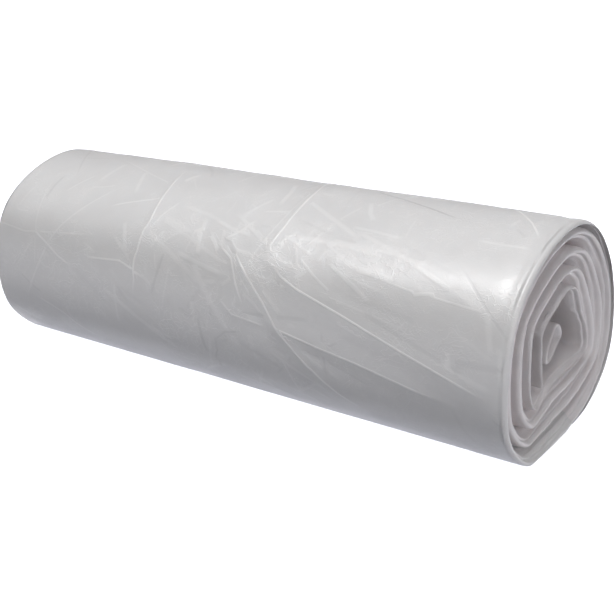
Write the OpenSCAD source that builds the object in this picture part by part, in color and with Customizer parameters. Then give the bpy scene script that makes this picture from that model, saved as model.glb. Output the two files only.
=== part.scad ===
// Roll of folded film bags without a core, settled on one side under its own weight.
// X runs along the roll, with the fuller end at +X. Z is up from the flat it lies on.

/* [Roll] */
// Length along X
roll_l = 300; // [220:5:400]
// Width at the fuller end
roll_w = 120; // [100:1:140]
// Height at the fuller end, from the flat up
roll_h = 102.5; // [85:0.5:120]
// Size of the other end, as a share of the fuller end
far_share = 0.95; // [0.92:0.01:1.00]
// How far the underside is pressed flat
flat_depth = 2; // [1.4:0.1:2.6]

/* [Turns] */
// Whole turns wound between the tail and the last fold
turns = 5; // [4:1:6]
// Greatest thickness of the folded film, where nothing presses it together
web_t = 8.4; // [7.4:0.1:9]
// Thickness of the film in the last turn, round the hollow
inner_t = 4; // [3:0.1:5]
// Least gap between one turn and the next, near the ends
turn_gap = 0.9; // [0.6:0.1:1.2]
// How far the gaps reach in from each end, before the turns lie tight on each other
gap_reach = 24; // [16:1:40]
// Share of the wound depth taken up by the tail
tail_share = 0.041; // [0.035:0.001:0.06]
// Angle of the tail's edge, seen along -X, from the side at -Y
tail_angle = 256; // [250:1:260]

/* [Ends] */
// Length over which the turns curl inwards at an end
lip_l = 6; // [5:1:12]
// Depth of that curl at the top, as a share of the wound depth
lip_curl = 0.07; // [0.02:0.01:0.15]
// How far a turn's edge slopes back, from a crest by its outer face to its inner face
edge_slope = 6; // [3:0.5:8]
// Distance of that crest from the turn's outer face
crest_d = 1; // [0.6:0.1:1.5]
// How far the inner turns stand back from the outer one at the fuller end
near_dish = 2.8; // [1:0.1:5]
// The same at the far end
far_dish = 2.4; // [1:0.1:5]
// Unevenness from one turn's edge to the next
end_wave = 0.3; // [0:0.1:1]
// How far the corner of the tail stands back at each end
tail_back = 1.5; // [0:0.5:4]
// How far the fold of the loose inner end stands back at each end
fold_back = 5; // [3:0.5:8]

/* [Folds] */
// Height of the creases pressed into the outer turn
fold_h = 1.1; // [0.6:0.1:1.6]
// Half width of a crease
fold_w = 4; // [3:0.5:5]

/* [Hidden] */
film = [0.87, 0.87, 0.88];
segs = 38;
half_l = roll_l / 2;

// Section at the fuller end, seen along -X with the -Y side on the right, as points at even steps
// from that side upwards: the outside and the fold round the hollow at every 30 degrees, and the
// loose inner end, folded back up into the hollow.
outside = [
    [60, 1], [52.5, 29], [30, 47], [0, 54], [-27, 46.5], [-47.5, 27],
    [-58.5, 0], [-55.5, -28], [-34.5, -46], [-6, -50.5], [28, -50.5], [54, -29]
];
inside = [
    [12.5, -3], [14.5, 7], [5.5, 13], [-1, 18], [-8.5, 17], [-14.5, 4.5],
    [-20.5, -3.5], [-25, -12], [-8, -11], [6, -13], [10.5, -22], [11, -18]
];
loose_end = [
    [9.8, -5], [6.7, 0.3], [1.4, 6.6], [-2.4, 5.2], [-5.3, -0.3], [-0.6, -4.4], [4, -8.5], [9.5, -9.5]
];

// The film winds inwards as the angle falls, and its last fold is at the lower corner of the hollow.
last_fold_angle = 323;
coil = turns + (tail_angle - last_fold_angle) / 360;
pitch = (1 - tail_share) / (coil - 1);
steps = round(coil * segs);
function angle_at(a) = tail_angle - 360 * a;

function smooth(t) = let (c = max(0, min(1, t))) c * c * (3 - 2 * c);
function turned(angle) = angle - 360 * floor(angle / 360);

// Closed cubic curve through points, as if they stood at even angles.
function around(points, angle) =
    let (
        n = len(points),
        place = turned(angle) * n / 360,
        i = floor(place),
        t = place - i,
        a = points[(i + n - 1) % n],
        b = points[i % n],
        c = points[(i + 1) % n],
        d = points[(i + 2) % n]
    )
    b + t * (c - a) / 2 + t * t * (2 * a - 5 * b + 4 * c - d) / 2 + t * t * t * (3 * b - 3 * c + d - a) / 2;

// Both fitted to the roll's width and height, with the underside pressed flat at height 0.
skin = 0.15;
flat_level = min([for (g = [0:2:358]) around(outside, g)[1]]) + flat_depth;
function pressed(angle) = let (p = around(outside, angle)) [p[0], max(p[1], flat_level)];
sides = [for (g = [0:2:358]) pressed(g)[0]];
heights = [for (g = [0:2:358]) pressed(g)[1]];
function fitted(p) = [
    roll_w * ((p[0] - min(sides)) / (max(sides) - min(sides)) - 0.5),
    roll_h * (p[1] - flat_level) / (max(heights) - flat_level)
];
function outer(angle) = fitted(pressed(angle));
function hollow(angle) = fitted(around(inside, angle));

// Distance on the section from the outside to the fold round the hollow.
function wound(angle) = norm(outer(angle) - hollow(angle));
// Place on the section: depth is 0 outside and 1 at the fold round the hollow.
function within(angle, depth) = outer(angle) * (1 - depth) + hollow(angle) * depth;
function share_at(x) = 1 - (1 - far_share) * (half_l - x) / roll_l;

// The ends curl inwards, most at the top and hardly at all on the flat.
function curl_at(angle, x) =
    let (t = max(0, min(1, (abs(x) - half_l + lip_l) / lip_l)))
    lip_curl * (0.52 + 0.48 * sin(angle)) * (1 - sqrt(1 - t * t));

function stand(x, p) = let (s = share_at(x)) [x, -s * p[0], s * p[1] - skin];
function place(angle, x, depth, rise = 0) =
    let (curl = curl_at(angle, x))
    stand(x, within(angle, depth + curl * (1 - depth) - rise / wound(angle)));

// Depth of a turn's outer face, a turns in from the tail.
function wound_depth(a) =
    tail_share + pitch * (a - 1) - crest_d * smooth((a - 1) / 0.5) / wound(angle_at(a));
function face_depth(a) = a < 1 ? wound_depth(1) * smooth((a - 0.97) / 0.03) : wound_depth(a);
// Depth of its inner face: the film's thickness in, or less where the turn below is too close.
function back_depth(a) =
    let (
        w = wound(angle_at(a)),
        below = a < coil - 1 ? wound_depth(a + 1) : 2,
        thick = web_t + (inner_t - web_t) * smooth((a - coil + 1.35) / 0.35)
    )
    min(
        face_depth(a) + thick / w,
        below - turn_gap * (0.4 + 0.6 * smooth(a / 0.3)) / w
    );

// How far a turn's edge stands back from the end of the roll, at end 1 or -1: least at the upper right.
function stand_back(a, end) =
    let (inward = max(0, a - 0.9))
    (end > 0 ? near_dish : far_dish) * (1 + 0.6 * cos(angle_at(a) + 30)) * (1 - exp(-inward / 0.8)) +
    end_wave * smooth(inward / 0.5) * (1 + sin(360 * (0.63 * a + (end > 0 ? 0.05 : 0.4)))) +
    tail_back * (1 - smooth(a / 0.1));

// Creases of the outer turn, each as the angles where it starts and ends, and its line from the
// top down as [angle, x] places for a roll 300 long. Above and below, the line keeps clear of the next.
folds = [
    [64, 6, [[64, -55], [20, -52], [6, -53]]],
    [14, -28, [[40, 2], [14, 24], [-2, 37], [-11, 48], [-28, 68]]],
    [0, -15, [[40, 13], [20, 26], [0, 50], [-6, 64], [-15, 104]]],
    [98, -8, [[98, 20], [60, 24], [32, 26], [20, 46], [3, 100], [-8, 126]]]
];

function fold_x(line, angle) = lookup(-angle, [for (p = line) [-p[0], p[1]]]) * roll_l / 300;
// A crease is wider along X where it runs nearly along the roll.
function fold_reach(line, angle) =
    let (run = (fold_x(line, angle - 3) - fold_x(line, angle + 3)) / 6)
    fold_w * sqrt(1 + run * run) * 0.75;
function fold_rise(fold, angle) =
    fold_h * smooth((fold[0] + 6 - angle) / 12) * smooth((angle - fold[1] + 6) / 12);
function fold_columns(angle) = [
    for (fold = folds)
        for (side = [-1, 0, 1])
            [
                fold_x(fold[2], angle) + side * fold_reach(fold[2], angle),
                side == 0 ? fold_rise(fold, angle) : 0
            ]
];

// One cut across the film: out along its face from the far end, and back along the inner face.
function cut(k) =
    let (
        a = coil * k / steps,
        angle = angle_at(a),
        near = half_l - stand_back(a, 1),
        far = stand_back(a, -1) - half_l,
        face = face_depth(a),
        back = back_depth(a),
        crest = min(crest_d / wound(angle), (back - face) * 0.3),
        seen = turned(angle + 180) - 180
    )
    [
        place(angle, far, face + crest),
        place(angle, far + lip_l / 4, face),
        place(angle, far + lip_l, face),
        each a <= 1 ? [for (c = fold_columns(seen)) place(angle, c[0], face, c[1])] : [],
        place(angle, near - lip_l, face),
        place(angle, near - lip_l / 4, face),
        place(angle, near, face + crest),
        place(angle, near - edge_slope * 0.4, (face + back) / 2),
        place(angle, near - edge_slope, back),
        place(angle, near - edge_slope - lip_l, back),
        place(angle, far + edge_slope + lip_l, back),
        place(angle, far + edge_slope, back),
        place(angle, far + edge_slope * 0.4, (face + back) / 2)
    ];

columns = 3 * len(folds);
function count(k) = coil * k / steps <= 1 ? 12 + columns : 12;
// Index in the next cut of the point that goes with point i of this one.
function match(i, here, next) =
    here == next || i < 3 ? i :
    i < 3 + columns ? (i < 3 + columns / 2 ? 2 : 3) :
    i - columns;

// Between the ends the turns lie tight on each other: a strip wound along between each turn and
// the next closes the gap, and lies a little way into both.
module tight_middle() {
    first = 0.1;
    n = round((coil - 1 - first) * segs);
    function strip(k) =
        let (
            a = first + (coil - 1.02 - first) * k / n,
            angle = angle_at(a),
            w = wound(angle),
            half = half_l - gap_reach - 0.8 * a
        )
        [for (x = [-half, half]) for (d = [back_depth(a) - 0.5 / w, wound_depth(a + 1) + 0.7 / w]) place(angle, x, d)];
    polyhedron(
        points = [for (k = [0:n]) each strip(k)],
        faces = [
            for (k = [0:n - 1])
                for (side = [[0, 2], [2, 3], [3, 1], [1, 0]])
                    let (i = 4 * k + side[0], j = 4 * k + side[1])
                    each [[i, j, j + 4], [i, j + 4, i + 4]],
            [0, 1, 3, 2],
            [4 * n, 4 * n + 2, 4 * n + 3, 4 * n + 1]
        ],
        convexity = 10
    );
}

module loose_turns() {
    cuts = [for (k = [0:steps]) cut(k)];
    starts = [for (k = 0, s = 0; k <= steps; s = s + count(k), k = k + 1) s];
    first = cuts[0];
    last = cuts[steps];
    n = len(first);
    m = len(last);
    polyhedron(
        points = [for (c = cuts) each c],
        faces = [
            for (k = [0:steps - 1])
                let (here = count(k), next = count(k + 1), s = starts[k], e = starts[k + 1])
                for (i = [0:here - 1])
                    let (j = (i + 1) % here, mi = match(i, here, next), mj = match(j, here, next))
                    each [
                        [s + j, e + mi, s + i],
                        if (mi != mj) [e + mj, e + mi, s + j]
                    ],
            // Tail edge and inner edge, fanned from the inner face.
            for (i = [0:n - 1]) if (i != n - 3 && (i + 1) % n != n - 3) [(i + 1) % n, i, n - 3],
            for (i = [0:m - 1])
                if (i != m - 3 && (i + 1) % m != m - 3)
                    [starts[steps] + i, starts[steps] + (i + 1) % m, starts[steps] + m - 3]
        ],
        convexity = 10
    );
}

// The loose end is seated on the inner face of the last turn at this angle, at this place of its drawing.
seat_angle = 350;
seat = [9.8475, -7.9879];
seat_turn = coil - (seat_angle - last_fold_angle) / 360;
function loose(angle) =
    fitted(around(loose_end, angle)) + within(seat_angle, back_depth(seat_turn)) - fitted(seat);

// The film's inner end: a flattened loop along the roll, with a rounded rim.
module loose_fold() {
    n = 16;
    outline = [for (k = [0:n - 1]) loose(360 * k / n)];
    middle = [for (i = [0, 1]) [for (p = outline) p[i]] * [for (p = outline) 1] / n];
    tip = half_l - fold_back;
    rings = [[-tip, 0.86], [crest_d - tip, 1], [tip - crest_d, 1], [tip, 0.86]];
    polyhedron(
        points = [for (r = rings) for (p = outline) stand(r[0], middle + r[1] * (p - middle))],
        faces = [
            [for (k = [0:n - 1]) n - 1 - k],
            [for (k = [0:n - 1]) 3 * n + k],
            for (r = [0:2])
                for (k = [0:n - 1])
                    let (j = (k + 1) % n) [r * n + k, r * n + j, r * n + n + j, r * n + n + k]
        ],
        convexity = 2
    );
}

module film_roll() {
    color(film)
        difference() {
            union() {
                loose_turns();
                union() {
                    tight_middle();
                    loose_fold();
                }
            }
            // The flat, a skin's depth up.
            translate([-roll_l, -roll_w, -10]) cube([2 * roll_l, 2 * roll_w, 10]);
        }
}

film_roll();
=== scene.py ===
import math

import bpy
import numpy as np
from mathutils import Matrix, Vector


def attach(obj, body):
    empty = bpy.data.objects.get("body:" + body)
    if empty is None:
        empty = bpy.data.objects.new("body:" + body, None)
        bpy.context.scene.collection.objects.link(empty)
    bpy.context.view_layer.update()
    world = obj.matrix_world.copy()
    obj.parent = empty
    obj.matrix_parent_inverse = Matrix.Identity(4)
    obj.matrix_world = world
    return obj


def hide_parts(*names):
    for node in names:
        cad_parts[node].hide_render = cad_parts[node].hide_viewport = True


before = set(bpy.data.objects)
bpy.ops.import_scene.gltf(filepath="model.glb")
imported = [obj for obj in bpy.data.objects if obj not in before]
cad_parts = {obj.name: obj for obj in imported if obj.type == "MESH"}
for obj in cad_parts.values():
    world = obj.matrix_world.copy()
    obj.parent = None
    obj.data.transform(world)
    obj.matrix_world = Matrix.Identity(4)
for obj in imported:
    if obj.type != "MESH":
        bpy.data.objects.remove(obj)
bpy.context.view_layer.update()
print("frame loaded")


# the camera stands where the photograph was taken from

cameraSetup = {
    "place": (0.3204, -0.4433, 0.2302),
    "forward": (-0.5348, 0.7742, -0.3386),
    "lens": 66.98,
    "sensor": 36.0,
}


def addCamera(setup):
    data = bpy.data.cameras.new("photoCamera")
    data.lens = setup["lens"]
    data.sensor_width = setup["sensor"]
    data.sensor_height = setup["sensor"]
    data.sensor_fit = "HORIZONTAL"
    data.clip_start = 0.01
    data.clip_end = 50.0
    camera = bpy.data.objects.new("photoCamera", data)
    bpy.context.scene.collection.objects.link(camera)
    forward = Vector(setup["forward"]).normalized()
    side = forward.cross(Vector((0.0, 0.0, 1.0))).normalized()
    up = side.cross(forward)
    turn = Matrix((side, up, -forward)).transposed().to_4x4()
    camera.matrix_world = Matrix.Translation(setup["place"]) @ turn
    bpy.context.scene.camera = camera


addCamera(cameraSetup)
print("camera placed")


# shape of the wound film, in millimetres, on the same section as the solid roll

rollShape = {
    "length": 300.0,
    "width": 120.0,
    "height": 102.5,
    "farShare": 0.95,  # size of the far end beside the near one
    "flatDepth": 2.0,  # how much of the outline the floor presses flat
    "flatRound": 0.5,
    "skin": 0.15,  # the film lies this much lower, so that its folds stay within the solid's height
    "floorGap": 0.02,
    "turns": 5,
    "lastFoldAngle": 323.0,
    "webThickness": 10.4,
    "innerThickness": 4.0,
    "gapReach": 22.0,  # how far in from an end the turns stand apart, and how much more for each turn
    "gapDeepens": 0.8,
    "gapCloses": 5.0,
    "tightOverlap": 0.6,
    "turnGap": 0.9,
    "crestDepth": 1.0,
    "tailShare": 0.041,  # how deep the first turn lies where it meets the tail
    "tailAngle": 256.0,
    "tailBack": 1.5,
    "lipLength": 6.0,
    "lipCurl": 0.07,
    "dish": {1: 2.8, -1: 2.4},  # how far the turns stand back, at the near end and the far one
    "dishTurns": 0.8,
    "dishLean": 0.6,
    "dishAngle": 30.0,
    "endWave": 0.3,
    "endWavePitch": 0.63,
    "endWaveStart": {1: 0.05, -1: 0.4},
    "outside": [
        (60, 1), (52.5, 29), (30, 47), (0, 54), (-27, 46.5), (-47.5, 27),
        (-58.5, 0), (-55.5, -28), (-34.5, -46), (-6, -50.5), (28, -50.5), (54, -29),
    ],
    "inside": [
        (12.5, -3), (14.5, 7), (5.5, 13), (-1, 18), (-8.5, 17), (-14.5, 4.5),
        (-20.5, -3.5), (-25, -12), (-8, -11), (6, -13), (10.5, -22), (11, -18),
    ],
    "looseFold": [
        (9.8, -5), (6.7, 0.3), (1.4, 6.6), (-2.4, 5.2), (-5.3, -0.3), (-0.6, -4.4), (4, -8.5),
        (9.5, -9.5),
    ],
}


def smooth(t):
    t = np.clip(t, 0.0, 1.0)
    return t * t * (3.0 - 2.0 * t)


def closedCurve(points, place):
    # cubic curve through all the points of a closed outline: place counts them, and may lie in between
    points = np.array(points, float)
    index = np.floor(place).astype(int)
    t = (place - index)[..., None]
    a, b, c, d = (points[(index + step) % len(points)] for step in (-1, 0, 1, 2))
    curve = b + t * (c - a) / 2
    curve = curve + t * t * (2 * a - 5 * b + 4 * c - d) / 2
    return curve + t ** 3 * (3 * b - 3 * c + d - a) / 2


def sectionCurve(points, angle):
    # the points of an outline of the section stand at equal angles round it
    return closedCurve(points, np.mod(angle, 360.0) / (360.0 / len(points)))


class WoundFilm:
    # section, depth and end positions of the wound film

    def __init__(self, shape):
        self.shape = shape
        self.halfLength = shape["length"] / 2
        self.coil = shape["turns"] + (shape["tailAngle"] - shape["lastFoldAngle"]) / 360.0
        self.pitch = (1.0 - shape["tailShare"]) / (self.coil - 1.0)
        ring = sectionCurve(shape["outside"], np.arange(0.0, 360.0, 2.0))
        self.flatLevel = ring[:, 1].min() + shape["flatDepth"]
        self.sideLow = ring[:, 0].min()
        self.sideHigh = ring[:, 0].max()
        self.top = ring[:, 1].max()

    def fitted(self, points):
        shape = self.shape
        side = shape["width"] * ((points[..., 0] - self.sideLow) / (self.sideHigh - self.sideLow) - 0.5)
        high = shape["height"] * (points[..., 1] - self.flatLevel) / (self.top - self.flatLevel)
        return np.stack([side, high], axis=-1)

    def outer(self, angle):
        points = sectionCurve(self.shape["outside"], angle)
        # the flat meets the sides in a small round instead of a hard edge
        gap = points[..., 1] - self.flatLevel
        soft = self.shape["flatRound"]
        points[..., 1] = self.flatLevel + 0.5 * (gap + np.sqrt(gap * gap + soft * soft))
        return self.fitted(points)

    def hollow(self, angle):
        return self.fitted(sectionCurve(self.shape["inside"], angle))

    def wound(self, angle):
        return np.linalg.norm(self.outer(angle) - self.hollow(angle), axis=-1)

    def angleAt(self, a):
        # a counts the turns from the tail: the film winds inwards as the section angle falls
        return self.shape["tailAngle"] - 360.0 * a

    def woundDepth(self, a, wound):
        crest = self.shape["tailShare"] + self.pitch * (a - 1.0)
        return crest - self.shape["crestDepth"] * smooth((a - 1.0) / 0.5) / wound

    def faceDepth(self, a, wound):
        tail = self.shape["tailShare"] * smooth((a - 0.97) / 0.03)
        return np.where(a < 1.0, tail, self.woundDepth(a, wound))

    def backDepth(self, a, wound):
        # a turn is as thick as its web, or less where the next one lies under it, and the last is thinner
        shape = self.shape
        below = np.where(a < self.coil - 1.0, self.woundDepth(a + 1.0, wound), np.inf)
        gap = shape["turnGap"] * (0.4 + 0.6 * smooth(a / 0.3))
        inner = smooth((a - self.coil + 1.35) / 0.35)
        thick = shape["webThickness"] * (1.0 - inner) + shape["innerThickness"] * inner
        return np.minimum(self.faceDepth(a, wound) + thick / wound, below - gap / wound)

    def tightened(self, a, wound, xs, shares, depth):
        # away from the ends the turns lie tight on each other: a turn's inner face meets the next one
        shape = self.shape
        below = (self.woundDepth(a + 1.0, wound) + shape["tightOverlap"] / wound)[:, None]
        inFromEnd = self.halfLength - np.abs(xs)
        reach = shape["gapReach"] + shape["gapDeepens"] * a[:, None]
        onBack = (shares > 0.999) * (a < self.coil - 1.0)[:, None]
        tight = smooth((inFromEnd - reach) / shape["gapCloses"]) * onBack
        return depth * (1.0 - tight) + below * tight

    def standBack(self, a, angle, end):
        # the turns stand back a little from the outer one, and the tail's corner does too
        shape = self.shape
        inward = np.maximum(0.0, a - 0.9)
        lean = 1.0 + shape["dishLean"] * np.cos(np.radians(angle + shape["dishAngle"]))
        dish = shape["dish"][end] * lean * (1.0 - np.exp(-inward / shape["dishTurns"]))
        sway = 1.0 + np.sin(2 * math.pi * (shape["endWavePitch"] * a + shape["endWaveStart"][end]))
        corner = shape["tailBack"] * (1.0 - smooth(a / 0.1))
        return dish + shape["endWave"] * smooth(inward / 0.5) * sway + corner

    def curlAt(self, angle, x):
        # the rims curl in, fully on top and hardly at all underneath
        lip = self.shape["lipLength"]
        t = np.clip((np.abs(x) - self.halfLength + lip) / lip, 0.0, 1.0)
        high = 0.52 + 0.48 * np.sin(np.radians(angle))
        return self.shape["lipCurl"] * high * (1.0 - np.sqrt(1.0 - t * t))

    def scaleAt(self, x):
        return 1.0 - (1.0 - self.shape["farShare"]) * (self.halfLength - x) / self.shape["length"]

    def standing(self, x, section):
        # points of the section, stood on the floor at places x along the roll
        scale = self.scaleAt(x)
        up = scale * section[..., 1] - self.shape["skin"]
        return np.stack([x, -scale * section[..., 0], up], axis=-1)

    def place(self, angle, x, depth, rise=0.0):
        # rise lifts a point out of the face, along the line from the hollow outwards
        curl = self.curlAt(angle, x)
        inward = depth + curl * (1.0 - depth)
        outer = self.outer(angle)
        hollow = self.hollow(angle)
        wound = np.linalg.norm(outer - hollow, axis=-1)
        inward = (inward - rise / wound)[..., None]
        placed = self.standing(x, outer * (1.0 - inward) + hollow * inward)
        placed[..., 2] = np.maximum(placed[..., 2], self.shape["floorGap"])
        return placed


film = WoundFilm(rollShape)


def waves(seed, count, low, high):
    # a repeatable wandering line: sines of seeded pitch and start
    rng = np.random.default_rng(seed)
    pitches = rng.uniform(low, high, count)
    starts = rng.uniform(0.0, 2 * math.pi, count)
    heights = rng.uniform(0.5, 1.0, count)
    heights = heights / heights.sum()

    def line(t):
        total = np.zeros_like(t)
        for pitch, start, height in zip(pitches, starts, heights):
            total = total + height * np.sin(2 * math.pi * pitch * t + start)
        return total

    return line


def patchNoise(seed, along, across):
    # smooth lattice noise between -1 and 1, over coordinates given in cells
    rng = np.random.default_rng(seed)
    size = 64  # cells before the lattice repeats
    lattice = rng.uniform(-1.0, 1.0, (size, size))
    i = np.floor(along).astype(int)
    j = np.floor(across).astype(int)
    u = smooth(along - i)
    v = smooth(across - j)
    a = lattice[i % size, j % size]
    b = lattice[(i + 1) % size, j % size]
    c = lattice[i % size, (j + 1) % size]
    d = lattice[(i + 1) % size, (j + 1) % size]
    return (a * (1 - u) + b * u) * (1 - v) + (c * (1 - u) + d * u) * v


def addMesh(name, rings, marks):
    # rings is cuts x points x 3, in millimetres: each cut is a closed loop, and a face closes each end
    cuts, count = rings.shape[0], rings.shape[1]
    points = rings.reshape(-1, 3) * 0.001
    start = np.arange(cuts - 1)[:, None] * count
    here = np.arange(count)[None, :]
    after = (here + 1) % count
    quads = np.stack([start + here, start + count + here, start + count + after, start + after], axis=-1)
    quads = quads.reshape(-1, 4)
    # faces look outwards: the volume that they enclose is above zero
    corners = points[quads]
    inside = np.cross(corners[:, 1] - corners[:, 0], corners[:, 2] - corners[:, 0])
    inside += np.cross(corners[:, 2] - corners[:, 0], corners[:, 3] - corners[:, 0])
    outwards = (inside * (corners[:, 0] - points.mean(axis=0))).sum() > 0
    faces = quads.tolist() if outwards else quads[:, ::-1].tolist()
    lastCut = (cuts - 1) * count
    for cap in (list(range(count)), list(range(lastCut + count - 1, lastCut - 1, -1))):
        faces.append(cap if outwards else cap[::-1])
    mesh = bpy.data.meshes.new(name)
    mesh.from_pydata(points.tolist(), [], faces)
    for key, values in marks.items():
        layer = mesh.attributes.new(key, "FLOAT", "POINT")
        layer.data.foreach_set("value", values.reshape(-1).astype(np.float32))
    mesh.polygons.foreach_set("use_smooth", np.ones(len(mesh.polygons), bool))
    mesh.validate()
    mesh.update()
    piece = bpy.data.objects.new(name, mesh)
    bpy.context.scene.collection.objects.link(piece)
    print(name, len(mesh.vertices), "points,", len(mesh.polygons), "faces")
    return piece


# creases of the outer turn: a path of (section angle in degrees, x in millimetres), its height, how far
# it reaches to the right and to the left of the path as seen from outside, and how strongly it is marked:
# a mark above zero whitens the line, partly stress whitening and partly a painted highlight, and a mark
# below zero darkens it, a painted shade

creaseSetup = {
    "unmarked": 9.0,  # stands for a place that no crease is near
    "lineReach": 2.6,
    "fadeShare": 0.18,
    "leastReach": 6.0,  # a line is worked out at least this far to its sides
    "lines": [
        {"path": [(112, 16), (97, 22.2), (79, 26.1), (67, 27.1), (50, 27.1), (37, 25.1), (31, 28.1)],
         "height": 0.41, "reach": (5.0, 16.0), "mark": 0.79},
        {"path": [(31, 28), (24, 36.9), (20, 45.8), (12, 73.3), (3, 100.9), (-3, 119.6), (-10, 141.2)],
         "height": 0.55, "reach": (9.0, 7.0), "mark": 1},
        {"path": [(10, 28), (-1, 38.9), (-5, 60.6), (-8, 80.2), (-13, 105.8), (-16, 122)],
         "height": 0.44, "reach": (6.0, 8.0), "mark": 0.85},
        {"path": [(36, 4), (10, 30), (-2, 38.9), (-11, 48.7), (-26, 68.4), (-34, 80)],
         "height": 0.44, "reach": (7.0, 9.0), "mark": 0.85},
        {"path": [(97, 46), (91, 57.6), (83, 80.2), (75, 104.8)],
         "height": -0.25, "reach": (4.0, 9.0), "mark": -0.62},
        {"path": [(35, 64), (33, 83.2), (30, 98.9), (28, 121.6), (26, 143)],
         "height": 0.25, "reach": (12.0, 5.0), "mark": 0.23},
        {"path": [(104, 113.7), (81, 134.4), (70, 143)],
         "height": 0.28, "reach": (3.5, 6.0), "mark": 0.79},
        {"path": [(34, -2), (28, 7.4), (16, 13.3), (6, 19)],
         "height": 0.22, "reach": (4.0, 6.0), "mark": 0.54},
        {"path": [(84, -56), (63, -51.6), (40, -47.7), (32, -48.7), (22, -48.7), (17, -49.7), (7, -48.7),
                  (-4, -50)],
         "height": 0.39, "reach": (4.5, 14.0), "mark": 0.72},
        {"path": [(13, -83.1), (14, -70.3), (15, -59.5), (12, -49.7), (8, -41)],
         "height": 0.25, "reach": (4.0, 4.0), "mark": 0.6},
        {"path": [(22, -122), (17, -112.6), (10, -101.8), (6, -92)],
         "height": 0.22, "reach": (4.0, 5.0), "mark": 0.47},
        {"path": [(-16, -121), (-20, -108.7), (-23, -101.8), (-31, -93), (-37, -84)],
         "height": 0.22, "reach": (4.0, 6.0), "mark": 0.47},
        {"path": [(44, -78), (48, -69.3), (52, -58.5), (56, -48)],
         "height": 0.19, "reach": (3.5, 5.0), "mark": 0.47},
        {"path": [(8, 4), (1, 12.3), (-1, 32)],
         "height": 0.19, "reach": (3.0, 5.0), "mark": 0.41},
    ],
    # long faint folds all round, which leave broad flat facets between them
    "long": {"seed": 11, "count": 34, "half": (20.0, 62.0), "bend": 2.5, "rise": (0.08, 0.26),
             "reach": (5.0, 26.0), "glow": 0.34},
    # soft streaks that run along the front, between the long creases
    "streak": {"seed": 31, "count": 60, "arc": (12.0, 26.0), "x": (32.0, 52.0), "lean": (-0.32, 0.22),
               "half": (8.0, 34.0), "rise": (0.04, 0.15), "reach": (2.5, 9.0), "glow": (0.06, 0.3),
               "width": (1.0, 3.2)},
    # short fine wrinkles, closer together towards the ends and the middle of the front
    "short": {"seed": 23, "count": 420, "endShare": 0.22, "endX": (118.0, 150.0), "frontShare": 0.2,
              "frontArc": (6.0, 30.0), "frontX": (10.0, 32.0), "half": (3.0, 13.0), "lean": 0.75,
              "rise": (0.03, 0.13), "rightReach": (1.8, 4.5), "leftReach": (1.8, 6.0), "glow": 0.34,
              "width": (0.8, 2.6)},
}


def arcTable():
    # millimetres round the outside at the fuller end, from the section's side upwards
    angles = np.arange(-130.0, 490.5, 0.5)
    points = film.outer(angles)
    steps = np.linalg.norm(np.diff(points, axis=0), axis=1)
    arc = np.concatenate([[0.0], np.cumsum(steps)])
    return angles, arc - np.interp(0.0, angles, arc)


tableAngles, tableArc = arcTable()
roundLength = float(np.interp(360.0, tableAngles, tableArc))


def arcAt(angle):
    return np.interp(angle, tableAngles, tableArc)


def pathField(arc, x, path, reach):
    # across a line: a tent that is 1 on it and 0 beyond its reach, how near the line a place is,
    # and how far off it lies, above zero on the right
    bestTent = np.zeros_like(x)
    bestNear = np.zeros_like(x)
    bestOff = np.full_like(x, creaseSetup["unmarked"])
    fading = creaseSetup["fadeShare"]
    lengths = np.linalg.norm(np.diff(path, axis=0), axis=1)
    total = lengths.sum()
    gone = 0.0
    for k in range(len(path) - 1):
        start, end = path[k], path[k + 1]
        run = (end - start) / lengths[k]
        da, dx = arc - start[0], x - start[1]
        t = np.clip(da * run[0] + dx * run[1], 0.0, lengths[k])
        offA, offX = da - t * run[0], dx - t * run[1]
        side = run[0] * offX - run[1] * offA
        off = np.sqrt(offA * offA + offX * offX)
        wide = np.where(side > 0, reach[0], reach[1])
        along = (gone + t) / total
        fade = smooth(along / fading) * smooth((1.0 - along) / fading)
        tent = np.maximum(0.0, 1.0 - off / wide)
        tent = tent * tent * 0.35 + tent * 0.65
        bestTent = np.maximum(bestTent, tent * (0.25 + 0.75 * fade))
        closer = off < np.abs(bestOff)
        bestOff = np.where(closer, np.copysign(off, side), bestOff)
        near = np.exp(-(off / creaseSetup["lineReach"]) ** 2) * fade
        bestNear = np.where(closer, near, bestNear)
        gone += lengths[k]
    return bestTent, bestNear, bestOff


def addPath(field, arc, x, path, reach, rise, glow, width=1.0):
    # only the places near the line are worked out, and the strongest line there keeps its mark; how far
    # off it lies is kept in widths of the line
    path = np.array(path, float)
    wide = max(max(reach), creaseSetup["leastReach"])
    low, high = path.min(axis=0) - wide, path.max(axis=0) + wide
    near = np.flatnonzero((arc > low[0]) & (arc < high[0]) & (x > low[1]) & (x < high[1]))
    if len(near) == 0:
        return
    tent, line, off = pathField(arc[near], x[near], path, reach)
    field["height"][near] += rise * tent
    stronger = np.abs(glow * line) > np.abs(field["mark"][near])
    field["mark"][near] = np.where(stronger, glow * line, field["mark"][near])
    field["off"][near] = np.where(stronger, off / width, field["off"][near])


def leaningPath(middle, half, lean, bend=(0.0, 0.0)):
    # three places along a line of the film, from one end over its bent middle to the other
    run = (half * math.cos(lean), half * math.sin(lean))
    return [(middle[0] - run[0], middle[1] - run[1]), (middle[0] + bend[0], middle[1] + bend[1]),
            (middle[0] + run[0], middle[1] + run[1])]


def signOf(chosen):
    return 1 if chosen else -1


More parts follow.
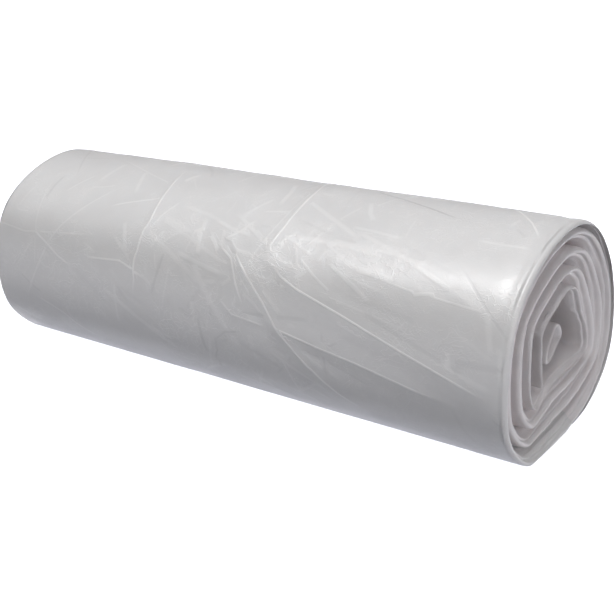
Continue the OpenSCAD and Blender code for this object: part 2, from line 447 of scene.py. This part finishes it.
def addLongFolds(field, arc, x, lowest, setup):
    rng = np.random.default_rng(setup["seed"])
    for k in range(setup["count"]):
        middle = (rng.uniform(lowest, lowest + roundLength),
                  rng.uniform(-film.halfLength, film.halfLength))
        lean = rng.normal(0.0, 0.6) if rng.random() < 0.6 else rng.uniform(-1.5, 1.5)
        half = rng.uniform(*setup["half"])
        bend = rng.normal(0.0, setup["bend"])
        path = leaningPath(middle, half, lean, (bend, -bend))
        rise = rng.uniform(*setup["rise"]) * signOf(rng.random() < 0.7)
        reach = (rng.uniform(*setup["reach"]), rng.uniform(*setup["reach"]))
        glow = setup["glow"] * rng.random() * signOf(rise > 0)
        addPath(field, arc, x, path, reach, rise, glow)


def addStreaks(field, arc, x, setup):
    rng = np.random.default_rng(setup["seed"])
    for k in range(setup["count"]):
        middle = (rng.normal(*setup["arc"]), rng.normal(*setup["x"]))
        half = rng.uniform(*setup["half"])
        # this lean is given from the roll's length, and a path takes it from the way round
        lean = 0.5 * math.pi - rng.normal(*setup["lean"])
        path = leaningPath(middle, half, lean, (rng.normal(0.0, 0.8), 0.0))
        rise = rng.uniform(*setup["rise"]) * signOf(rng.random() < 0.75)
        reach = (rng.uniform(*setup["reach"]), rng.uniform(*setup["reach"]))
        glow = rng.uniform(*setup["glow"]) * signOf(rise > 0)
        addPath(field, arc, x, path, reach, rise, glow, rng.uniform(*setup["width"]))


def addShortWrinkles(field, arc, x, lowest, setup):
    rng = np.random.default_rng(setup["seed"])
    for k in range(setup["count"]):
        where = rng.uniform(-film.halfLength, film.halfLength)
        around = rng.uniform(lowest, lowest + roundLength)
        pick = rng.random()
        if pick < setup["endShare"]:
            where = math.copysign(rng.uniform(*setup["endX"]), where)
        elif pick < setup["endShare"] + setup["frontShare"]:
            where = rng.normal(*setup["frontX"])
            around = rng.normal(*setup["frontArc"])
        lean = rng.normal(0.0, setup["lean"])
        half = rng.uniform(*setup["half"])
        path = leaningPath((around, where), half, lean, (rng.normal(0.0, 0.8), rng.normal(0.0, 0.8)))
        rise = rng.uniform(*setup["rise"])
        reach = (rng.uniform(*setup["rightReach"]), rng.uniform(*setup["leftReach"]))
        glow = setup["glow"] * rng.random() ** 2 * signOf(rng.random() < 0.75)
        addPath(field, arc, x, path, reach, rise, glow, rng.uniform(*setup["width"]))


def creaseField(angle, x):
    # height and marks of all creases, once round from the section angle where the first turn ends
    field = {"height": np.zeros_like(x), "mark": np.zeros_like(x),
             "off": np.full_like(x, creaseSetup["unmarked"])}
    arc = arcAt(angle)
    lowest = float(arcAt(rollShape["tailAngle"] - 360.0))
    for crease in creaseSetup["lines"]:
        path = [(float(arcAt(place[0])), place[1]) for place in crease["path"]]
        addPath(field, arc, x, path, crease["reach"], crease["height"], crease["mark"])
    addLongFolds(field, arc, x, lowest, creaseSetup["long"])
    addStreaks(field, arc, x, creaseSetup["streak"])
    addShortWrinkles(field, arc, x, lowest, creaseSetup["short"])
    return field


# the film's edge, from its face inwards: share of the web, how far back from the end, and which of the
# layers it belongs to, because each layer sways by itself

edgeSetup = {
    "profile": [
        (0.0, 2.0, 0), (0.02, 1.1, 0), (0.05, 0.5, 0), (0.10, 0.1, 0), (0.16, 0.0, 0), (0.23, 0.1, 0),
        (0.29, 0.4, 0), (0.34, 0.9, 0), (0.38, 1.6, 0), (0.41, 2.3, 1), (0.45, 2.1, 1), (0.51, 2.1, 1),
        (0.57, 2.5, 1), (0.62, 3.2, 1), (0.67, 3.8, 2), (0.73, 4.4, 2), (0.81, 5.4, 2), (0.90, 7.0, 2),
        (1.0, 9.0, 2),
    ],
    "sway": (0.35, 0.7, 0.9),
    "spread": 0.14,  # how much wider or narrower the rim becomes from place to place
    "ripple": 0.25,
    "rippleCells": (40.0, 9.0),
    "seeds": {1: 41, -1: 141},
}


def edgeProfile(a, setup, end):
    # across the film's edge from its face to its back: share of the web, and how far back from the end
    shares = []
    backs = []
    seed = setup["seeds"][end]
    widen = setup["spread"] * waves(seed + 50, 5, 0.6, 3.0)(a)
    cells = setup["rippleCells"]
    sways = []
    for layer, reach in enumerate(setup["sway"]):
        slow = waves(seed + layer, 6, 0.6, 8.0)(a)
        quick = waves(seed + 20 + layer, 6, 9.0, 30.0)(a)
        sways.append(reach * (0.5 + 0.8 * slow + 0.3 * quick))
    for share, back, layer in setup["profile"]:
        ease = min(1.0, 3.0 * (1.0 - share))
        shares.append(share * (1.0 + widen * ease))
        ripple = setup["ripple"] * patchNoise(seed + 60, a * cells[0], np.full_like(a, share * cells[1]))
        backs.append(np.maximum(0.0, back + sways[layer] + ripple * min(1.0, back)))
    return np.stack(shares, axis=-1), np.stack(backs, axis=-1)


def fromEnds(nearX, farX, offsets):
    # places across the film, by their distance from its two edges
    offsets = np.array(offsets)
    near = nearX[:, None] - offsets[None, :]
    far = farX[:, None] + offsets[None, ::-1]
    return near, far


def acrossFilm(a, nearX, farX, faceX, backSteps):
    # all places across the film at stations a: x, share of the web and depth, over the face, the near
    # edge, the back and the far edge
    wound = film.wound(film.angleAt(a))
    backX = np.concatenate(fromEnds(nearX, farX, backSteps), axis=1)
    shareNear, backNear = edgeProfile(a, edgeSetup, 1)
    shareFar, backFar = edgeProfile(a, edgeSetup, -1)
    xs = np.concatenate([faceX, nearX[:, None] - backNear, backX,
                         (farX[:, None] + backFar)[:, ::-1]], axis=1)
    shares = np.concatenate([np.zeros_like(faceX), shareNear, np.ones_like(backX),
                             shareFar[:, ::-1]], axis=1)
    face = film.faceDepth(a, wound)[:, None]
    back = film.backDepth(a, wound)[:, None]
    return xs, shares, film.tightened(a, wound, xs, shares, face + (back - face) * shares)


def filmEdges(a):
    # where the film's two edges stand at stations a
    angle = film.angleAt(a)
    return film.halfLength - film.standBack(a, angle, 1), film.standBack(a, angle, -1) - film.halfLength


outerSetup = {
    "stations": 300,  # round the turn, and columns along it
    "columns": 222,
    "squeeze": 0.012,
    "rimWidth": 2.3,
    "backSteps": [14.0, 17.0, 22.0, 31.0, 60.0],
    # seed, cell round the roll, cell along it, height
    "ripples": [(5, 31.0, 44.0, 0.30), (6, 12.0, 17.0, 0.07), (7, 4.2, 3.6, 0.035)],
    "sink": 0.25,  # the face lies this much lower before its folds raise it
    "restHeight": 1.5,  # below this nothing rises, because the flat lies on the floor
    "restFade": 6.0,
    "tuck": 5.0,
    # a furrow behind the rims, on the upper side
    "groove": {1: 0.55, -1: 0.12},
    "groovePlace": 8.0,
    "grooveWidth": 2.6,
    "grooveSway": 1.3,
    "grooveSeed": 9,
}


def buildOuterTurn():
    setup = outerSetup
    a = np.linspace(0.0, 1.0, setup["stations"])
    angle = film.angleAt(a)
    nearX, farX = filmEdges(a)

    # columns stand closer together where the film turns in at the ends
    t = np.linspace(-1.0, 1.0, setup["columns"])
    spaced = np.sign(t) * (np.abs(t) - setup["squeeze"] * np.sin(math.pi * np.abs(t)))
    middle = 0.5 * (nearX + farX)[:, None]
    half = 0.5 * (nearX - farX)[:, None]
    faceX = middle + (half - setup["rimWidth"]) * spaced[None, :]
    xs, shares, depth = acrossFilm(a, nearX, farX, faceX, setup["backSteps"])

    angles = np.broadcast_to(angle[:, None], xs.shape)
    height = np.zeros_like(xs)
    mark = np.zeros_like(xs)
    off = np.full_like(xs, creaseSetup["unmarked"])

    # the face takes the creases, a slow and a fine unevenness, and the furrow behind each rim
    columns = setup["columns"]
    faceAngle = angles[:, :columns]
    field = creaseField(faceAngle.ravel(), faceX.ravel())
    arc = arcAt(faceAngle)
    rise = field["height"].reshape(faceX.shape) - setup["sink"]
    for seed, cellRound, cellAlong, most in setup["ripples"]:
        rise += most * patchNoise(seed, arc / cellRound, faceX / cellAlong)
    fromEnd = film.halfLength - np.abs(faceX)
    sway = setup["grooveSway"] * patchNoise(setup["grooveSeed"], arc / 38.0, np.sign(faceX) * 3.0)
    upper = smooth((faceAngle + 20.0) / 40.0) * smooth((175.0 - faceAngle) / 40.0)
    deep = np.where(faceX > 0, setup["groove"][1], setup["groove"][-1])
    away = (fromEnd - setup["groovePlace"] - sway) / setup["grooveWidth"]
    rise -= deep * upper * np.exp(-away ** 2)
    raised = smooth((film.outer(faceAngle)[..., 1] - setup["restHeight"]) / setup["restFade"])
    tuck = 0.3 + 0.7 * smooth(fromEnd / setup["tuck"])
    height[:, :columns] = rise * (0.15 + 0.85 * raised) * tuck
    mark[:, :columns] = field["mark"].reshape(faceX.shape) * tuck
    off[:, :columns] = field["off"].reshape(faceX.shape)
    rings = film.place(angles, xs, depth, height)
    wind = (arcAt(rollShape["tailAngle"]) - arcAt(angle)) * 0.001
    marks = {
        "foldMark": mark,
        "foldOff": off,
        "windPlace": np.broadcast_to(wind[:, None], xs.shape),
        "layerPlace": shares,
    }
    return addMesh("outer_turn", rings, marks)


innerSetup = {
    "stations": 760,
    "start": 0.985,
    "closer": 0.12,  # how much closer the stations stand towards the small turns at the middle
    "faceSteps": [2.5, 3.4, 4.6, 6.2, 8.5, 12.0, 17.0, 24.0, 34.0, 60.0],
    "backSteps": [14.0, 17.0, 22.0, 33.0, 60.0],
    "reach": [52.0, 19.0],  # from the middle of the roll to the film, at the first and the last turn
    # loose film buckles a little, more in the hollow than under the outer turn
    "crumple": 0.32,
    "looseCrumple": 1.2,
    "buckles": [(15, 9.0, 14.0, 1.0), (16, 4.0, 6.0, 0.5)],
}


def buildInnerTurns():
    setup = innerSetup
    t = np.linspace(0.0, 1.0, setup["stations"])
    closer = setup["closer"]
    a = setup["start"] + (film.coil - setup["start"]) * ((1.0 + closer) * t - closer * t * t)
    angle = film.angleAt(a)
    nearX, farX = filmEdges(a)
    near, far = fromEnds(nearX, farX, setup["faceSteps"])
    faceX = np.concatenate([far[:, ::-1], near[:, ::-1]], axis=1)
    xs, shares, depth = acrossFilm(a, nearX, farX, faceX, setup["backSteps"])

    # how far along the film each station lies
    radius = np.interp(0.5 * (a[1:] + a[:-1]), [1.0, film.coil], setup["reach"])
    wind = np.concatenate([[0.0], np.cumsum(np.diff(a) * 2 * math.pi * radius)])
    along = np.broadcast_to(wind[:, None], xs.shape)
    hollow = smooth((a - film.coil + 0.9) / 0.6)
    loose = setup["crumple"] * (0.35 + setup["looseCrumple"] * hollow)[:, None]
    height = np.zeros_like(xs)
    for seed, cellRound, cellAlong, most in setup["buckles"]:
        height += loose * most * patchNoise(seed, along / cellRound, xs / cellAlong)
    rings = film.place(np.broadcast_to(angle[:, None], xs.shape), xs, depth, height)
    marks = {
        "foldMark": np.zeros_like(xs),
        "foldOff": np.full_like(xs, creaseSetup["unmarked"]),
        "windPlace": along * 0.001,
        "layerPlace": shares,
    }
    return addMesh("inner_turns", rings, marks)


foldSetup = {
    "stations": 72,
    "back": 4.0,
    # the rounded rim: share of the section, and how far back from the end
    "rim": [(1.0, 2.6), (1.0, 1.2), (0.985, 0.35), (0.93, 0.0), (0.86, 0.25), (0.80, 0.9), (0.72, 2.2),
            (0.6, 4.0), (0.45, 5.6), (0.28, 6.6), (0.12, 7.0)],
    "between": (-120.0, -60.0, 0.0, 60.0, 120.0, 136.0),  # plain rings from one rim to the other
    "wobble": 0.8,
    "wobbleSeed": 71,
}


def buildLooseFold():
    # the film's inner end, folded back up into the hollow: rings round it, from end to end
    setup = foldSetup
    section = rollShape["looseFold"]
    count = setup["stations"]
    share = np.arange(count) / count
    outline = film.fitted(closedCurve(section, share * len(section)))
    middle = outline.mean(axis=0)
    wobble = 0.9 + setup["wobble"] * waves(setup["wobbleSeed"], 5, 1.0, 5.0)(share)

    def rim(end):
        for size, back in setup["rim"]:
            x = end * (film.halfLength - setup["back"] - back - wobble * min(1.0, 0.4 + back))
            yield film.standing(x, middle + (outline - middle) * size)

    rings = list(rim(-1))[::-1]
    rings += [film.standing(np.full(count, x), outline) for x in setup["between"]]
    rings += list(rim(1))
    rings = np.array(rings)
    along = np.broadcast_to(np.arange(count)[None, :] * 0.0006, rings.shape[:2])
    none = np.zeros(rings.shape[:2])
    marks = {"foldMark": none, "foldOff": none + creaseSetup["unmarked"], "windPlace": along,
             "layerPlace": none}
    return addMesh("loose_fold", rings, marks)


outerTurn = buildOuterTurn()
innerTurns = buildInnerTurns()
looseFold = buildLooseFold()
for turn in (outerTurn, innerTurns, looseFold):
    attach(turn, "root")
    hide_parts("film_roll")
print("film wound")


# shader helper: a socket that can be used in sums

class Wave:
    def __init__(self, tree, socket):
        self.tree = tree
        self.socket = socket

    def maths(self, kind, first, second):
        node = self.tree.nodes.new("ShaderNodeMath")
        node.operation = kind
        for slot, value in enumerate((first, second)):
            if isinstance(value, Wave):
                self.tree.links.new(value.socket, node.inputs[slot])
            else:
                node.inputs[slot].default_value = value
        return Wave(self.tree, node.outputs[0])

    def __add__(self, other):
        return self.maths("ADD", self, other)

    def __radd__(self, other):
        return self.maths("ADD", other, self)

    def __sub__(self, other):
        return self.maths("SUBTRACT", self, other)

    def __rsub__(self, other):
        return self.maths("SUBTRACT", other, self)

    def __mul__(self, other):
        return self.maths("MULTIPLY", self, other)

    def __rmul__(self, other):
        return self.maths("MULTIPLY", other, self)


class Finish:
    def __init__(self, name):
        self.material = bpy.data.materials.new(name)
        self.material.use_nodes = True
        self.tree = self.material.node_tree
        self.shader = self.tree.nodes["Principled BSDF"]

    def node(self, kind, settings=None, values=None, output=0):
        # one way in for every node: its settings first, then its sockets
        made = self.tree.nodes.new(kind)
        for key, value in (settings or {}).items():
            setattr(made, key, value)
        for key, value in (values or {}).items():
            if isinstance(value, Wave):
                self.tree.links.new(value.socket, made.inputs[key])
            else:
                made.inputs[key].default_value = value
        return Wave(self.tree, made.outputs[output])

    def feed(self, key, value):
        if isinstance(value, Wave):
            self.tree.links.new(value.socket, self.shader.inputs[key])
        else:
            self.shader.inputs[key].default_value = value


filmFinish = {
    "clear": (0.73, 0.727, 0.732, 1.0),
    "milky": (0.86, 0.857, 0.862, 1.0),
    # the colour of a whitened crease line, partly stress whitening and partly a painted highlight
    "whitenedAndHighlight": (0.97, 0.965, 0.965, 1.0),
    # the colour of a dark crease line, a painted shade
    "paintedCreaseShade": (0.45, 0.45, 0.46, 1.0),
    "tint": (1.0, 1.0, 1.0, 1.0),
    "layerStep": 0.01,  # how far the noises move from the film's face to its back
    "drawnOut": 0.12,
    "cloud": {"Scale": 26.0, "Detail": 3.0, "Roughness": 0.55},
    "streak": {"Scale": 190.0, "Detail": 4.0, "Roughness": 0.6},
    "fleck": {"Scale": 420.0, "Detail": 3.0, "Roughness": 0.6, "Distortion": 0.6},
    "crinkle": {"Detail": 2.0, "Roughness": 0.5, "Distortion": 1.2},
    "crinkles": [(62.0, 0.018), (150.0, 0.03)],  # scale and width of the crinkle lines
    "crinklePatch": (0.42, 0.62),
    "crinkleWhite": 0.16,
    "lineWidth": 0.75,
    "lineCore": 0.3,
    "lineWhite": 1.1,
    "lineDark": 0.55,
    "roughness": 0.36,
    "streakRoughness": 0.12,
    "cloudRoughness": 0.16,
    "metallic": 0.04,
    "subsurface": 0.18,
    "subsurfaceScale": 0.004,
    "subsurfaceRadius": (1.0, 0.9, 0.85),
    "relief": 0.0003,
    "reliefStrength": 0.55,
    "reliefOf": {"streak": 0.4, "fleck": 0.4, "crinkle": 0.35, "line": 0.9},
}

# the edges of the layers let more light through, and look a little warmer; their base colour is lighter
# than the outer turn's, a painted light that brightens the shaded gaps between the turns at the ends
layerFinish = dict(filmFinish)
layerFinish.update({
    "clear": (0.85, 0.85, 0.85, 1.0),
    "milky": (0.94, 0.94, 0.94, 1.0),
    "metallic": 0.02,
    "subsurface": 0.5,
    "subsurfaceScale": 0.009,
    "tint": (1.0, 0.957, 0.967, 1.0),
})


def filmNoise(finish, place, sockets):
    return finish.node("ShaderNodeTexNoise", {"noise_dimensions": "3D"}, dict(sockets, Vector=place))


def eased(finish, value, low, high, first, last):
    # value between low and high, eased into the range from first to last
    return finish.node("ShaderNodeMapRange", {"interpolation_type": "SMOOTHSTEP"},
                       {"Value": value, "From Min": low, "From Max": high, "To Min": first,
                        "To Max": last})


def sizeOf(finish, value):
    return finish.node("ShaderNodeMath", {"operation": "ABSOLUTE"}, {0: value})


def kept(finish, value):
    # between 0 and 1
    return finish.node("ShaderNodeMath", {"operation": "MAXIMUM", "use_clamp": True}, {0: value, 1: 0.0})


def mixed(finish, share, first, second, blend="MIX"):
    return finish.node("ShaderNodeMix", {"data_type": "RGBA", "blend_type": blend},
                       {"Factor": share, "A": first, "B": second}, "Result")


def filmMaterial(name, values):
    finish = Finish(name)
    fold, off, wind, layer = (
        finish.node("ShaderNodeAttribute", {"attribute_name": key}, None, "Fac")
        for key in ("foldMark", "foldOff", "windPlace", "layerPlace"))
    place = finish.node("ShaderNodeTexCoord", None, None, "Object")
    alongX = finish.node("ShaderNodeSeparateXYZ", None, {"Vector": place}, "X")
    # film coordinates: along the roll, along the winding, and through the layers
    depth = layer * values["layerStep"]
    filmPlace = finish.node("ShaderNodeCombineXYZ", None, {"X": alongX, "Y": wind, "Z": depth})
    drawnPlace = finish.node("ShaderNodeCombineXYZ", None,
                             {"X": alongX, "Y": wind * values["drawnOut"], "Z": depth})
    cloud = filmNoise(finish, filmPlace, values["cloud"])
    streak = filmNoise(finish, drawnPlace, values["streak"])
    fleck = filmNoise(finish, filmPlace, values["fleck"])

    # thin creases where a slow noise crosses its middle value, stronger in some patches than in others
    thin = 0.0
    for scale, width in values["crinkles"]:
        crinkle = filmNoise(finish, filmPlace, dict(values["crinkle"], Scale=scale))
        thin = thin + eased(finish, sizeOf(finish, crinkle - 0.5), 0.0, width, 1.0, 0.0)
    thin = thin * eased(finish, cloud, *values["crinklePatch"], 0.1, 1.0)

    # a pressed crease is a narrow line in the middle of its mark: white on a ridge, partly the film's
    # stress whitening and partly a painted highlight, and dark in a furrow, a painted shade
    width = values["lineWidth"]
    line = fold * eased(finish, sizeOf(finish, off), width * values["lineCore"], width, 1.0, 0.0)
    whiteningAndHighlight = kept(finish, line * values["lineWhite"] + thin * values["crinkleWhite"])
    # a painted shade along the crease lines whose mark is below zero
    paintedCreaseShade = kept(finish, line * -values["lineDark"])
    base = mixed(finish, cloud, values["clear"], values["milky"])
    base = mixed(finish, whiteningAndHighlight, base, values["whitenedAndHighlight"])
    base = mixed(finish, paintedCreaseShade, base, values["paintedCreaseShade"])
    finish.feed("Base Color", mixed(finish, 1.0, base, values["tint"], "MULTIPLY"))

    rough = values["roughness"] + (streak - 0.5) * values["streakRoughness"]
    finish.feed("Roughness", rough + (cloud - 0.5) * values["cloudRoughness"])
    relief = values["reliefOf"]
    height = streak * relief["streak"] + fleck * relief["fleck"]
    height = height + thin * relief["crinkle"] + line * relief["line"]
    bump = finish.node("ShaderNodeBump", None,
                       {"Strength": values["reliefStrength"], "Distance": values["relief"],
                        "Height": height}, "Normal")
    finish.feed("Normal", bump)
    finish.feed("IOR", 1.5)
    finish.feed("Metallic", values["metallic"])
    finish.feed("Subsurface Weight", values["subsurface"])
    finish.feed("Subsurface Scale", values["subsurfaceScale"])
    finish.feed("Subsurface Radius", values["subsurfaceRadius"])
    return finish.material


outerTurn.data.materials.append(filmMaterial("wornFilm", filmFinish))
layeredFilm = filmMaterial("layeredFilm", layerFinish)
innerTurns.data.materials.append(layeredFilm)
looseFold.data.materials.append(layeredFilm)
print("film finished")


# floor, lights and surroundings

stageSetup = {
    "floorSize": 12.0,
    "wallRadius": 5.9,
    "wallFoot": -0.01,
    "wallHeight": 9.0,
    "wallSides": 48,
    "floorColor": (0.90, 0.90, 0.90, 1.0),
    "floorRoughness": 0.9,
    "floorSpecular": 0.1,
    "floorGlow": 1.2,
    "floorGlowColor": (0.92, 0.93, 1.03, 1.0),
    "world": (0.97, 0.98, 1.0, 1.0),
    "worldStrength": 0.05,
    "aim": (0.0, 0.0, 0.05),
    "softboxes": {
        "overheadBox": {"place": (-0.05, -0.433, 1.381), "size": (1.1, 0.5), "power": 17.0,
                        "color": (1.0, 0.995, 0.99)},
        "endBox": {"place": (1.30, -0.35, 0.35), "size": (1.0, 0.6), "power": 4.8,
                   "color": (1.0, 0.98, 0.985)},
        "backBox": {"place": (-0.30, 1.20, 0.70), "size": (1.2, 0.6), "power": 1.3,
                    "color": (1.0, 0.80, 0.87), "sheen": False},
        "lowBackBox": {"place": (-0.35, 1.35, 0.20), "size": (1.3, 0.35), "power": 7.0,
                       "color": (1.0, 0.99, 0.99), "sheen": False},
    },
}


def paleMaterial(setup):
    # a lit tabletop: bright to look at, and soft on the underside of the roll
    finish = Finish("paleFloor")
    finish.feed("Base Color", setup["floorColor"])
    finish.feed("Roughness", setup["floorRoughness"])
    finish.feed("Specular IOR Level", setup["floorSpecular"])
    finish.feed("Emission Color", setup["floorGlowColor"])
    finish.feed("Emission Strength", setup["floorGlow"])
    return finish.material


def addStagePiece(name, places, faces, material):
    mesh = bpy.data.meshes.new(name)
    mesh.from_pydata(places, [], faces)
    mesh.materials.append(material)
    piece = bpy.data.objects.new(name, mesh)
    bpy.context.scene.collection.objects.link(piece)
    piece.visible_diffuse = False
    piece.visible_shadow = False
    return piece


def buildFloor(setup, material):
    half = setup["floorSize"] / 2
    corners = [(-half, -half, 0.0), (half, -half, 0.0), (half, half, 0.0), (-half, half, 0.0)]
    floor = addStagePiece("floor", corners, [(0, 1, 2, 3)], material)


def buildWall(setup, material):
    # a pale wall round the table, seen by the camera alone, so that a low view has no dark edge
    count = setup["wallSides"]
    turns = [2 * math.pi * k / count for k in range(count)]
    ring = [(setup["wallRadius"] * math.cos(turn), setup["wallRadius"] * math.sin(turn)) for turn in turns]
    places = [(x, y, z) for z in (setup["wallFoot"], setup["wallHeight"]) for x, y in ring]
    after = [(k + 1) % count for k in range(count)]
    faces = [(k, after[k], count + after[k], count + k) for k in range(count)]
    wall = addStagePiece("wall", places, faces, material)
    wall.visible_glossy = False
    wall.visible_transmission = False


def addSoftbox(name, box, aim):
    data = bpy.data.lights.new(name, "AREA")
    data.shape = "RECTANGLE"
    data.size, data.size_y = box["size"]
    data.energy = box["power"]
    data.color = box["color"]
    lamp = bpy.data.objects.new(name, data)
    bpy.context.scene.collection.objects.link(lamp)
    lamp.location = box["place"]
    lamp.visible_glossy = box.get("sheen", True)  # the boxes behind give light, and no gloss
    lamp.rotation_euler = (Vector(aim) - Vector(box["place"])).to_track_quat("-Z", "Y").to_euler()


paleStage = paleMaterial(stageSetup)
buildFloor(stageSetup, paleStage)
buildWall(stageSetup, paleStage)
for boxName, box in stageSetup["softboxes"].items():
    addSoftbox(boxName, box, stageSetup["aim"])
world = bpy.data.worlds.new("studio")
bpy.context.scene.world = world
world.use_nodes = True
world.node_tree.nodes["Background"].inputs["Color"].default_value = stageSetup["world"]
world.node_tree.nodes["Background"].inputs["Strength"].default_value = stageSetup["worldStrength"]
bpy.context.scene.view_settings.view_transform = "Standard"
print("stage lit")
